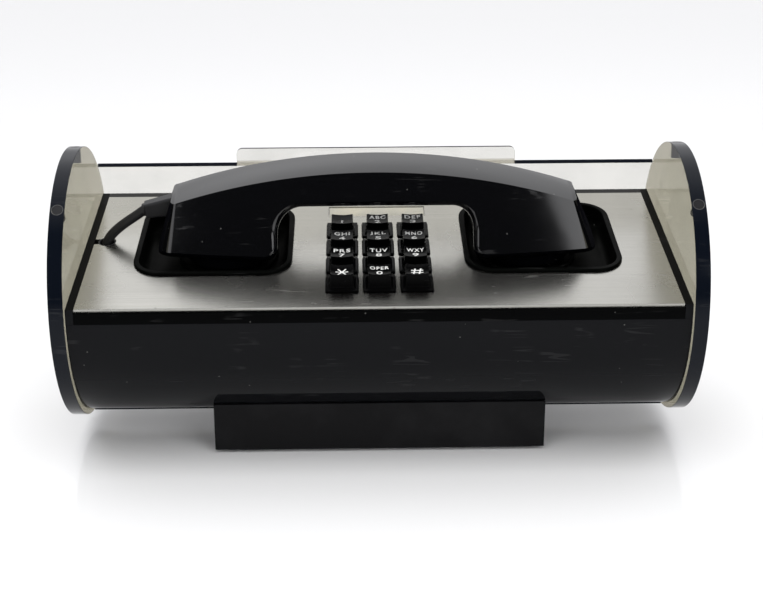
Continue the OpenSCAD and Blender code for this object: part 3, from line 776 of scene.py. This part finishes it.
class Handset:
    """Outline of the handset's side view and the flare of its sides."""

    low, high = panel_box("handset_body")
    bottom = low.z
    centre_s = (low.y + high.y) / 2
    crown_x = -2.0
    crown_r = 310.0
    bulge = 0.8
    top = 43.2
    half_top = 12.0
    flare = 0.42
    under = 25.8
    left = -104.6
    right = 103.8
    top_left = -101.8
    top_right = 97.9
    wall_left = -50.3
    wall_right = 47.6
    edge_r = 3.6
    corner = 6.5
    end_corner = 2.5
    end_reach = 6.9
    end_lean = 0.18

    @classmethod
    def crease_n(cls, x):
        """Height of the crease between the sides and the crown."""
        return cls.top - cls.crown_r + math.sqrt(cls.crown_r ** 2 - (x - cls.crown_x) ** 2)

    @classmethod
    def half(cls, x, n):
        """Half width of the body, wider towards the bottom."""
        return cls.half_top + cls.flare * (cls.crease_n(x) - n)

    @classmethod
    def end_bulge(cls, n):
        """How far the middle of an end face stands out: more towards the bottom, rounded off below."""
        short = max(0.0, cls.end_corner - (n - cls.bottom))
        rounding = cls.end_corner - math.sqrt(cls.end_corner ** 2 - short ** 2)
        return cls.end_reach - cls.end_lean * n - rounding


def resample(points, count):
    """The same path as count + 1 points at equal distances, with each point's direction."""
    lengths = [0.0]
    for a, b in zip(points, points[1:]):
        lengths.append(lengths[-1] + math.hypot(b[0] - a[0], b[1] - a[1]))
    out = []
    j = 0
    for i in range(count + 1):
        want = lengths[-1] * i / count
        while j < len(points) - 2 and lengths[j + 1] < want:
            j += 1
        span = lengths[j + 1] - lengths[j]
        t = (want - lengths[j]) / span
        a, b = points[j], points[j + 1]
        way = ((b[0] - a[0]) / span, (b[1] - a[1]) / span)
        out.append(((a[0] + way[0] * span * t, a[1] + way[1] * span * t), way))
    return out


def under_path():
    """The handset's underside in side view, from the left end face to the right end face."""
    h = Handset
    c = h.corner
    b = h.bottom
    left_hook = 13.0
    right_hook = 11.0
    path = [(h.left, b)]
    path += arc(h.wall_left - c, b + c, c, -90, 0, 12)
    path += arc(h.wall_left + left_hook, h.under - left_hook, left_hook, 180, 90, 18)
    path += [(-20, h.under + 0.4), (0, h.under + 0.6), (16, h.under + 0.4)]
    path += arc(h.wall_right - right_hook, h.under - right_hook, right_hook, 90, 0, 18)
    path += arc(h.wall_right + c, b + c, c, 180, 270, 12)
    path.append((h.right, b))
    return path


def handset_ring(point, way, share):
    """One closed ring: up one side from the underside, over the crown and down the other side."""
    h = Handset
    inward = (-way[1], way[0])
    crease_x = h.top_left + (h.top_right - h.top_left) * share
    crease_n = h.crease_n(crease_x)
    half_side = []
    start = (point[0] + inward[0] * h.edge_r, point[1] + inward[1] * h.edge_r)
    half_start = h.half(start[0], start[1])
    for step in range(3):
        half_side.append((point[0], (half_start - h.edge_r) * step / 3, point[1]))
    for step in range(7):
        a = math.pi / 2 * step / 6
        off = h.edge_r * (1 - math.cos(a))
        across = half_start - h.edge_r + h.edge_r * math.sin(a)
        half_side.append((point[0] + inward[0] * off, across, point[1] + inward[1] * off))
    for step in range(1, 8):
        t = step / 8
        x = start[0] + (crease_x - start[0]) * t
        n = start[1] + (crease_n - start[1]) * t
        half_side.append((x, h.half(x, n), n))
    soft = 0.5
    half_crease = h.half(crease_x, crease_n)
    half_side.append((crease_x, half_crease + h.flare * soft, crease_n - soft))
    half_side.append((crease_x, half_crease, crease_n))
    half_side.append((crease_x, half_crease - soft, crease_n + h.bulge * 0.1))
    for step in (0.75, 0.5, 0.25, 0.0):
        half_side.append((crease_x, half_crease * step, crease_n + h.bulge * (1 - step * step)))
    front = [Vector((x, h.centre_s - across, n)) for x, across, n in half_side]
    back = [Vector((x, h.centre_s + across, n)) for x, across, n in reversed(half_side[1:-1])]
    return front + back


def handset_body():
    """The moulded handle with both heads, bored for the capsules."""
    h = Handset
    pieces = 220
    stations = resample(under_path(), pieces)
    rings = [handset_ring(point, way, i / pieces) for i, (point, way) in enumerate(stations)]

    def end_rings(ring, sign):
        """Rings that close an end: a crease, a round corner in plan and then a nearly flat face."""
        first = math.radians(20)
        corner_share = 0.27
        out = []
        for degrees in (24, 32, 42, 52, 62, 72, 81, 90):
            turn = math.radians(degrees)
            share = 1 - corner_share * (1 - math.cos(turn) / math.cos(first))
            out.append((share, (math.sin(turn) - math.sin(first)) / (1 - math.sin(first))))
        flat = 1 - corner_share
        for part in (0.8, 0.6, 0.4, 0.2, 0.0):
            out.append((flat * part, 1 + 0.06 * (1 - part * part)))
        return [
            [
                Vector((p.x + sign * reach * h.end_bulge(p.z), h.centre_s + (p.y - h.centre_s) * share, p.z))
                for p in ring
            ]
            for share, reach in out
        ]

    left = list(reversed(end_rings(rings[0], -1)))
    right = end_rings(rings[-1], 1)
    points, faces = skin(left + rings + right, False)
    made = new_mesh("handset_body_moulded", points, faces, TO_PANEL)
    drills = []
    capsule_r = 20
    end_x = 100
    for node in ("mouthpiece_cap", "earpiece_cap"):
        drills.append(drill(capsule_r, -8, 12, 72, on_panel(*centre_of(node))))
    cut(made, drills)
    # The end faces take the matt copy without reflections: painted shade on both ends.
    finish_piece(
        made, "handset_plastic", "handset", ["handset_body"], 24, [MATERIALS["handset_plastic"], HANDSET_END_SHADE],
        lambda polygon: int(abs(polygon.normal.x) > 0.6 and abs(polygon.center.x) > end_x * MM),
    )


handset_body()


# ---------- cord, boot and grommet ----------

CORD_BOTTOM = panel_box("handset_cord")[0].z
GROMMET_LOW, GROMMET_HIGH = panel_box("cord_grommet")
HOLE_X, HOLE_S = centre_of("cord_grommet")
BOOT_TIP = Vector((-118.4, Handset.centre_s, 17.9))
BOOT_ROOT = Vector((-105, Handset.centre_s, 20.3))


def boot():
    """A moulded strain relief: a tapering block with round corners and a thin collar at the cord."""
    way = (BOOT_ROOT - BOOT_TIP).normalized()
    up = way.cross(Vector((0, 1, 0))).normalized()
    length = (BOOT_ROOT - BOOT_TIP).length
    stations = [(0.5, 2.6, 2.7, 2.6), (-0.9, 2.9, 3.0, 2.8), (-0.9, 3.1, 3.2, 3.0), (0.0, 3.2, 3.3, 3.0)]
    stations += [(0.2, 2.9, 3.3, 1.2), (0.6, 3.3, 3.8, 1.2)]
    for t in (0.2, 0.4, 0.6, 0.8, 1.0):
        stations.append((0.6 + (length - 0.6) * t, 3.3 + 0.3 * t, 3.8 + 1.3 * t, 1.2))
    stations.append((length + 2.5, 3.6, 5.3, 1.2))
    rings = []
    for along, half_s, half_up, corner in stations:
        outline = rounded_rect(2 * half_s, 2 * half_up, min(corner, half_s - 0.1), 5)
        centre = BOOT_TIP + way * along
        rings.append([centre + Vector((0, a, 0)) + up * b for a, b in outline])
    made = skinned("cord_boot_moulded", rings, TO_PANEL)
    finish_piece(made, "rubber", "handset", ["cord_boot"])


boot()


def bezier(a, b, c, d, t):
    return a * (1 - t) ** 3 + b * 3 * (1 - t) ** 2 * t + c * 3 * (1 - t) * t * t + d * t ** 3


def cord():
    """The cord from inside the boot, over the plate and down through the grommet."""
    radius = 2.5
    way = (BOOT_ROOT - BOOT_TIP).normalized()
    start = BOOT_TIP + way * 4
    end = Vector((HOLE_X - 0.6, HOLE_S, -4))
    lean_out = Vector((-124.5, Handset.centre_s, 12.8))
    lean_in = Vector((HOLE_X - 0.8, HOLE_S, 5.5))
    centres = [start, start - way * 2]
    begin = BOOT_TIP - way * 0.5
    centres += [bezier(begin, lean_out, lean_in, end, i / 28) for i in range(29)]
    centres += [Vector((HOLE_X, HOLE_S, n)) for n in (-8, -14, -24, CORD_BOTTOM)]
    rings = []
    for i, here in enumerate(centres):
        after = centres[min(i + 1, len(centres) - 1)]
        before = centres[max(i - 1, 0)]
        ahead = (after - before).normalized()
        side = ahead.cross(Vector((0, 1, 0))).normalized()
        up = side.cross(ahead).normalized()
        rings.append([
            here + side * radius * math.cos(a) + up * radius * math.sin(a)
            for a in [2 * math.pi * k / 24 for k in range(24)]
        ])
    made = skinned("handset_cord_sheath", rings, TO_PANEL)
    made.data.materials.append(MATERIALS["rubber"])
    shade(made)
    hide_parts("handset_cord")
    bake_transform(made)


cord()


def grommet():
    """A soft ring with a groove that holds it in the plate."""
    top = GROMMET_HIGH.z
    bottom = GROMMET_LOW.z
    outer = (GROMMET_HIGH.x - GROMMET_LOW.x) / 2
    profile = [(3.8, bottom + 0.4), (4.2, bottom), (outer - 0.3, bottom), (outer, bottom + 0.3)]
    profile += [(outer, -2.3), (outer - 0.3, -2.05), (4.5, -2.0), (4.5, top - 0.2), (4.3, top)]
    profile += [(4.0, top), (3.8, top - 0.2), (3.8, bottom + 0.4)]
    made = turned("cord_grommet_moulded", profile, 64, on_panel(HOLE_X, HOLE_S), True)
    finish_piece(made, "rubber", "root", ["cord_grommet"])


grommet()


# ---------- push buttons ----------

PAD_HALF = 5.5
PAD_FRONT = -5.6
PAD_BACK = 4.6


def key_top_n(top, x, s):
    """Height of a button's dished top at x and s from the button's centre."""
    middle_s = (PAD_FRONT + PAD_BACK) / 2
    across = 1 - (x / PAD_HALF) ** 2
    along = 1 - ((s - middle_s) / (PAD_BACK - middle_s)) ** 2
    return top - 0.6 * max(across, 0) - 0.5 * max(along, 0)


def push_button(name, legends):
    """A square button on a smaller stem, with sloping sides, a dished top and its legends."""
    node = "key_" + name
    low, high = panel_box(node)
    cx = (low.x + high.x) / 2
    foot = (high.x - low.x) / 2
    place = on_panel(cx, low.y + foot)
    steps = 10
    stem = 3.5
    stem_top = -6.9
    shoulder = 1.0

    def loop(half, front, back, height):
        """Points round the button, height(x, s) giving each point's n."""
        corner = [(-half, front), (half, front), (half, back), (-half, back)]
        out = []
        for (x0, s0), (x1, s1) in zip(corner, corner[1:] + corner[:1]):
            for i in range(steps):
                x = x0 + (x1 - x0) * i / steps
                s = s0 + (s1 - s0) * i / steps
                out.append(Vector((x, s, height(x, s))))
        return out

    def level(half, front, back, n):
        return loop(half, front, back, lambda x, s: n)

    rings = [
        level(stem, -stem, stem, low.z), level(stem, -stem, stem, stem_top),
        level(foot, -foot, foot, stem_top), level(foot, -foot, foot, shoulder),
        level(6.7, -6.8, 6.4, shoulder), level(5.7, -5.85, 5.2, 2.2),
        loop(PAD_HALF, PAD_FRONT, PAD_BACK, lambda x, s: key_top_n(high.z, x, s)),
    ]
    mid = (PAD_FRONT + PAD_BACK) / 2
    for shrink in (0.8, 0.6, 0.4, 0.2, 0.0):
        rings.append(loop(
            PAD_HALF * shrink, mid + (PAD_FRONT - mid) * shrink, mid + (PAD_BACK - mid) * shrink,
            lambda x, s: key_top_n(high.z, x, s),
        ))
    points, faces = skin(rings)
    made = new_mesh(node + "_moulded", points, faces[:-1], place)
    bevel(made, 0.35, 3, 38)
    finish_piece(made, "key_plastic", node, [node], 40)
    for number, (mark, s, tall, wide) in enumerate(legends):
        legend(node + "_legend_" + str(number), mark, s, tall, wide, high.z, place, node)


def bars(lines, thick):
    """A mesh of straight bars between pairs of points, for the star and the hash."""
    work = bmesh.new()
    for (x0, y0), (x1, y1) in lines:
        length = math.hypot(x1 - x0, y1 - y0)
        px, py = -(y1 - y0) / length * thick / 2, (x1 - x0) / length * thick / 2
        pieces = 6
        for i in range(pieces):
            ax, ay = x0 + (x1 - x0) * i / pieces, y0 + (y1 - y0) * i / pieces
            bx, by = x0 + (x1 - x0) * (i + 1) / pieces, y0 + (y1 - y0) * (i + 1) / pieces
            corners = ((ax - px, ay - py), (bx - px, by - py), (bx + px, by + py), (ax + px, ay + py))
            work.faces.new([work.verts.new((x, y, 0)) for x, y in corners])
    mesh = bpy.data.meshes.new("bars")
    work.to_mesh(mesh)
    work.free()
    return mesh


def letters(text):
    """A flat mesh of characters in the built-in typeface, spaced a little wide."""
    drawn = bpy.data.curves.new("letters", "FONT")
    drawn.body = text
    drawn.offset = 0.02
    drawn.space_character = 1.18
    drawn.resolution_u = 4
    return mesh_of(drawn)


def legend(name, mark, s, tall, wide, top, place, body):
    """Printed characters laid on a button's dished top, tall and wide in millimetres."""
    if mark == "star":
        mesh = bars((((-1, 0), (1, 0)), ((-0.62, -1), (0.62, 1)), ((-0.62, 1), (0.62, -1))), 0.24)
    elif mark == "hash":
        level = [((-1, y), (1, y)) for y in (0.42, -0.42)]
        mesh = bars(level + [((-0.62, -1), (-0.3, 1)), ((0.3, -1), (0.62, 1))], 0.26)
    else:
        mesh = letters(mark)
    xs = [v.co.x for v in mesh.vertices]
    ys = [v.co.y for v in mesh.vertices]
    mid_x, mid_y = (min(xs) + max(xs)) / 2, (min(ys) + max(ys)) / 2
    scale_x = wide / (max(xs) - min(xs))
    scale_y = tall / (max(ys) - min(ys))
    work = bmesh.new()
    work.from_mesh(mesh)
    lift = 0.05
    sunk = 0.12
    for v in work.verts:
        x = (v.co.x - mid_x) * scale_x
        along = s + (v.co.y - mid_y) * scale_y
        v.co = Vector((x, along, key_top_n(top, x, along) + lift))
    bmesh.ops.recalc_face_normals(work, faces=work.faces)
    grown = bmesh.ops.extrude_face_region(work, geom=work.faces[:])
    for element in grown["geom"]:
        if isinstance(element, bmesh.types.BMVert):
            element.co.z -= sunk
    bmesh.ops.recalc_face_normals(work, faces=work.faces)
    work.to_mesh(mesh)
    work.free()
    mesh.transform(Matrix.Scale(MM, 4) @ place)
    mesh.materials.clear()
    mesh.materials.append(LEGEND_INK)
    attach(in_scene(name, mesh), body)


for key_name in KEY_NAMES:
    push_button(key_name, key_marks(key_name))


# ---------- base ----------

def base_block():
    """A block hollowed to the tube in front, deeper for the cover behind, with a pocket for the socket."""
    low, high = box_mm("base_block")
    tube_r = TUBE_R + 0.05
    relief = box_mm("cover_shell")[1].y + 0.9
    strip = -15.0

    def under(r, y):
        """Height of the underside of a round body of radius r."""
        return AXIS_Z - math.sqrt(r * r - y * y)

    def run(r, y0, y1, steps):
        ys = [y0 + (y1 - y0) * i / steps for i in range(steps + 1)]
        return [(y, under(r, y)) for y in ys]

    groove = 0.9
    outline = [(low.y, low.z), (low.y, under(tube_r, low.y) - groove)]
    outline += run(tube_r, low.y + groove, strip, 14) + run(relief, strip, high.y, 30)
    outline += [(high.y, low.z)]
    rings = [[Vector((x, y, z)) for y, z in outline] for x in (low.x, high.x)]
    made = skinned("base_block_painted", rings)
    bevel(made, 0.25, 3, 40)
    jack_low, jack_high = box_mm("line_jack")
    room = 0.1
    outline = box_outline(jack_low.x - room, jack_high.x + room, jack_low.y - room, jack_high.y + 5)
    rings = [[Vector((x, y, z)) for x, y in outline] for z in (jack_low.z - room, jack_high.z + room)]
    cut(made, [skinned("pocket", rings)])
    finish_piece(made, "matt_black", "root", ["base_block"])


base_block()


# ---------- cover ----------

def cover_sheet():
    """The curved sheet, as a closed arc between the end discs."""
    low, high = box_mm("cover_shell")
    outer = high.y
    thick = 2.2
    front_edge = 43.0
    span = 148.0
    ease = 0.25
    steps = 150

    def at(angle, r, x):
        a = math.radians(angle)
        return Vector((x, r * math.sin(a), AXIS_Z + r * math.cos(a)))

    tab_ends = [corner.x for corner in box_mm("cover_tab")]
    rings = []
    for i in range(steps + 1):
        angle = front_edge + span * i / steps
        inner_r, outer_r = outer - thick, outer
        outside = [low.x + ease, *tab_ends, high.x - ease]
        rings.append(
            [at(angle, inner_r, x) for x in reversed(outside)]
            + [at(angle, inner_r + ease, low.x), at(angle, outer_r - ease, low.x)]
            + [at(angle, outer_r, x) for x in outside]
            + [at(angle, outer_r - ease, high.x), at(angle, inner_r + ease, high.x)]
        )
    points, faces = skin(rings, False)
    count = len(rings[0])
    ends = len(outside)
    for base in (0, steps * count):
        for i in range(ends - 1):
            faces.append((base + i, base + i + 1, base + 2 * ends - i, base + 2 * ends + 1 - i))
        faces.append((base + ends - 1, base + ends, base + ends + 1, base + ends + 2))
        faces.append((base, base + 2 * ends + 1, base + 2 * ends + 2, base + count - 1))
    made = new_mesh("cover_sheet_polished", points, faces)
    tab_reach = 46

    def is_edge(polygon):
        """Dark polished edges, except where the finger tab is glued on."""
        out = polygon.center - CASE_AXIS
        out.x = 0
        behind_tab = out.y < tab_reach * MM and tab_ends[0] < polygon.center.x / MM < tab_ends[1]
        flat = abs(polygon.normal.dot(out.normalized())) > 0.8 or abs(polygon.normal.x) > 0.5
        return 0 if behind_tab or flat else 1

    finish_piece(made, "smoked_acrylic", "cover", ["cover_shell"], 30, [COVER_SHEET, ACRYLIC_EDGE], is_edge)


cover_sheet()


# ---------- CAD pieces that keep their shape ----------

# How far the edges of each kept piece are rounded, in millimetres.
KEPT = {
    "base_pad": 0.3, "base_screws": 0.15, "base_batten": 0.0, "bulkhead_left": 0.2,
    "bulkhead_right": 0.2, "card_frame": 0.2, "disc_dowels": 0.2, "rim_plugs": 0.0, "front_rail": 0.2,
    "rear_rail": 0.2, "rail_screws": 0.15, "number_card": 0.0, "card_window": 0.1,
    "keypad_frame": 0.2, "keypad_board": 0.0, "key_domes": 0.2, "main_board": 0.0,
    "board_components": 0.3, "board_standoffs": 0.15, "board_screws": 0.15,
    "sounder_bracket": 0.15, "sounder_housing": 0.3, "sounder_disc": 0.0, "hook_switch": 0.3,
    "hook_plunger": 0.2, "line_jack": 0.2, "line_lead": 0.0, "mouthpiece_cap": 0.4,
    "earpiece_cap": 0.4, "transmitter_capsule": 0.3, "receiver_capsule": 0.3,
    "handset_wires": 0.0, "cover_tab": 0.15,
}
SLOTS = {part["node"]: part["material_slot"] for part in frame["record"]["subparts"]}
for kept_node, rounding in KEPT.items():
    keep_cad(kept_node, SLOTS[kept_node], rounding)
paint_faces(NODES["front_rail"], [RAIL_BLACK], lambda polygon: 0)


def is_plug_side(polygon):
    """True for the faces of a rim plug that are inside the disc."""
    out = polygon.center - CASE_AXIS
    out.x = 0
    return int(polygon.normal.dot(out.normalized()) < 0.8)


paint_faces(NODES["rim_plugs"], [MATERIALS["plug_plastic"], MATERIALS["smoked_acrylic"]], is_plug_side)
paint_faces(
    NODES["cover_tab"], [COVER_SHEET, ACRYLIC_EDGE, RAIL_BLACK],
    lambda polygon: 0 if abs(polygon.normal.y) > 0.9 else 2 if polygon.normal.z > 0.5 else 1,
)
for bulkhead in ("bulkhead_left", "bulkhead_right"):
    paint_faces(
        NODES[bulkhead], [MATERIALS["black_acrylic"], RAIL_BLACK],
        lambda polygon: int(polygon.normal.dot(PANEL_NORMAL) > 0.9),
    )


# ---------- stage ----------

def studio_world():
    """White surroundings behind and above, a dark room in front, a softbox on each side."""
    world = bpy.data.worlds.new("studio")
    bpy.context.scene.world = world
    world.use_nodes = True
    g = Graph(world.node_tree, "Generated")
    behind = g.times(g.smooth(g.towards((0, 1, 0)), -0.25, 0.35), 0.91)
    leftness = g.smooth(g.towards((-1, 0, 0)), -0.25, 0.35)
    top_strength = g.plus(g.times(leftness, 0.35), 0.45)
    above = g.times(g.smooth(g.towards((0, 0.35, 1)), 0.6, 0.85), top_strength)
    right_box = g.smooth(g.towards((0.560, -0.754, 0.342)), 0.942, 0.949)
    left_box = g.smooth(g.towards((-0.578, -0.741, 0.342)), 0.944, 0.950)
    room = 0.05
    light = g.plus(behind, room)
    for part in (above, g.times(right_box, 2.9), g.times(left_box, 2.0)):
        light = g.plus(light, part)
    glow = g.node("ShaderNodeCombineColor", Red=light, Green=light, Blue=g.times(light, 1.02))
    seen = g.tree.nodes.new("ShaderNodeLightPath")
    shown = g.mix(seen.outputs["Is Camera Ray"], glow.outputs[0], (0.98, 0.98, 0.98))
    back = g.tree.nodes["Background"]
    g.link(shown, back.inputs["Color"])


def stage():
    """A pale floor and one large soft light, above and in front, that leaves no reflection."""
    bpy.ops.mesh.primitive_plane_add(size=60, location=(0, 0, 0))
    floor = bpy.context.object
    floor.name = "studio_floor"
    p = Paint("white_floor")
    wear = p.noise(8, 3)
    p.put(Base_Color=p.mix(p.span(wear, 0, 0.2), (0.84, 0.84, 0.84), (0.81, 0.81, 0.81)))
    p.put(Roughness=p.span(wear, 0.06, 0.1), IOR=1.33, Specular_IOR_Level=0.45)
    floor.data.materials.append(p.mat)

    light = bpy.data.lights.new("front_top_softbox", "AREA")
    light.shape = "RECTANGLE"
    light.size = 2.6
    light.size_y = 1.2
    light.energy = 22
    made = in_scene("front_top_softbox", light)
    made.location = (0, -0.6, 1.4)
    aim = Vector((0, -0.1, 0))
    made.rotation_euler = (aim - made.location).to_track_quat("-Z", "Y").to_euler()
    made.visible_glossy = False


studio_world()
stage()


def camera():
    """A long lens a little left of the middle, looking down by about twenty degrees."""
    data = bpy.data.cameras.new("camera")
    data.lens = 68.36
    data.sensor_width = 36
    data.clip_start = 0.05
    data.clip_end = 100
    made = in_scene("camera", data)
    down, turn, roll = math.radians(20), math.radians(1.1), math.radians(0.2)
    ahead = Vector((math.sin(turn) * math.cos(down), math.cos(turn) * math.cos(down), -math.sin(down)))
    target = Vector((0.0018, 0, 0.0653))
    made.location = target - ahead * 0.7572
    facing = ahead.to_track_quat("-Z", "Y").to_matrix().to_4x4()
    made.rotation_euler = (facing @ Matrix.Rotation(-roll, 4, "Z")).to_euler()
    bpy.context.scene.camera = made


camera()
scene = bpy.context.scene
scene.view_settings.view_transform = "Standard"
scene.view_settings.look = "None"
